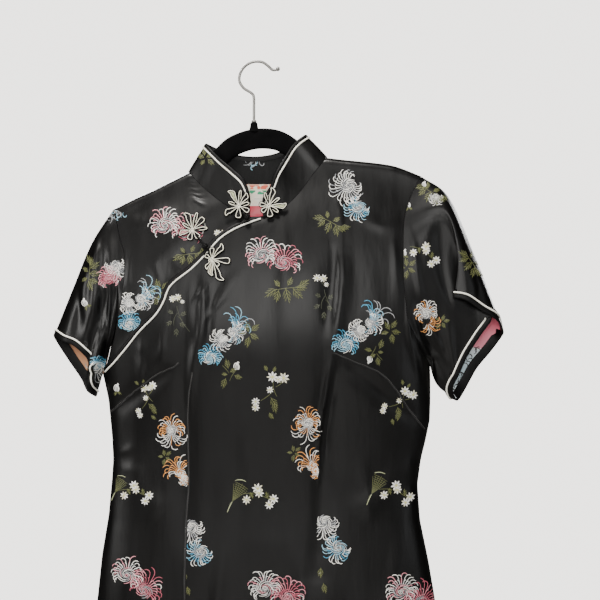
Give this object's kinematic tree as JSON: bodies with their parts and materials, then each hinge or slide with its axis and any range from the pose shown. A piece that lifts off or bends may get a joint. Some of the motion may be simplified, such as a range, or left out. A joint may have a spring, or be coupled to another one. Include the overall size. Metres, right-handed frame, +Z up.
{
  "type": "cheongsam dress on a hanger",
  "caption": "Short-sleeved fitted dress with a stand collar, slanting piped opening and flower frogs, hanging flat on a slim flocked hanger.",
  "frame": {"origin": "the inner crown of the hanger's hook, where it rests on a hook or rail; the dress hangs below it", "axes": "+Z up, front of the dress towards -Y, +X towards the wearer's left"},
  "size_m": [0.5411, 0.0721, 1.1233],
  "materials": {
    "satin": "black silk satin brocade with small woven flowers",
    "piping": "cream satin piping",
    "frog": "cream satin cord edged in black",
    "label": "woven label, plain bands of colour",
    "tab": "folded woven tape",
    "velvet": "black flocking over a moulded core",
    "steel": "bright steel wire"
  },
  "bodies": {
    "root": {"front": "satin", "front_underlap": "satin", "back": "satin", "sleeve_left": "satin", "sleeve_right": "satin", "collar": "satin", "piping_collar": "piping", "piping_opening": "piping", "piping_cuff_left": "piping", "piping_cuff_right": "piping", "binding_collar": "satin", "binding_opening": "satin", "binding_cuff_left": "satin", "binding_cuff_right": "satin", "frog_collar_left": "frog", "frog_collar_right": "frog", "frog_chest_left": "frog", "frog_chest_right": "frog", "button_chest": "satin", "button_collar": "satin", "neck_label": "label", "size_tab": "tab", "hanger_body": "velvet", "hanger_hook": "steel"}
  },
  "joints": []
}
